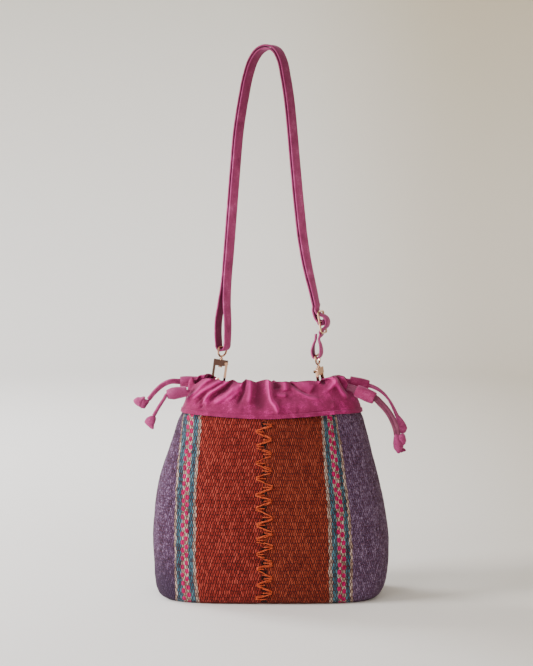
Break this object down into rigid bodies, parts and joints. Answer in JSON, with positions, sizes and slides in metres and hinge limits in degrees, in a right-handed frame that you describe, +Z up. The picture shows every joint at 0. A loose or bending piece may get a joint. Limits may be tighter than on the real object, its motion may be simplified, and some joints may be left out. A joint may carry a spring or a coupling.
{
  "type": "woven drawstring shoulder bag",
  "caption": "Soft standing pouch of hand-woven striped wool with a gathered suede band, drawstring ends with knots, and a suede shoulder strap on two sprung swivel hooks",
  "frame": {"origin": "on the floor under the middle of the pouch", "axes": "+Z up, -Y the front with the zigzag seam, +X to the right as the front is seen"},
  "size_m": [0.2996, 0.1309, 0.6064],
  "materials": {
    "wool_left": "coarse weft-faced wool weave, purple side, cream, teal and pink stripes, red middle",
    "wool_right": "coarse weft-faced wool weave, rust middle, cream, teal and pink stripes, purple side",
    "band_suede": "matt suede",
    "strap_suede": "matt suede",
    "cord_suede": "matt suede",
    "sleeve_suede": "matt suede",
    "knot_suede": "matt suede",
    "tab_suede": "matt suede",
    "gold": "polished pale gold"
  },
  "bodies": {
    "bag": {"body_left": "wool_left", "body_right": "wool_right", "band": "band_suede", "strap": "strap_suede", "slider": "gold", "eye_left": "gold", "eye_right": "gold", "hook_left": "gold", "hook_right": "gold", "ring_left": "gold", "ring_right": "gold", "tab_left": "tab_suede", "tab_right": "tab_suede", "drawstring_front_left": "cord_suede", "drawstring_back_left": "cord_suede", "drawstring_front_right": "cord_suede", "drawstring_back_right": "cord_suede", "sleeve_front_left": "sleeve_suede", "sleeve_back_left": "sleeve_suede", "sleeve_front_right": "sleeve_suede", "sleeve_back_right": "sleeve_suede", "knot_front_left": "knot_suede", "knot_back_left": "knot_suede", "knot_front_right": "knot_suede", "knot_back_right": "knot_suede"},
    "left_gate": {"gate_left": "gold"},
    "right_gate": {"gate_right": "gold"}
  },
  "joints": [
    {"name": "left_gate_hinge", "type": "hinge", "parent": "bag", "child": "left_gate", "pos_m": [-0.04954, 0, 0.25661], "axis": [0, 1, 0], "range_deg": [0, 24], "stiffness_Nm_per_rad": 0.008, "springref_deg": -5.73},
    {"name": "right_gate_hinge", "type": "hinge", "parent": "bag", "child": "right_gate", "pos_m": [0.0507, -0.00563, 0.24831], "axis": [0.899, -0.4192, 0.1264], "range_deg": [0, 24], "stiffness_Nm_per_rad": 0.008, "springref_deg": -5.73}
  ]
}
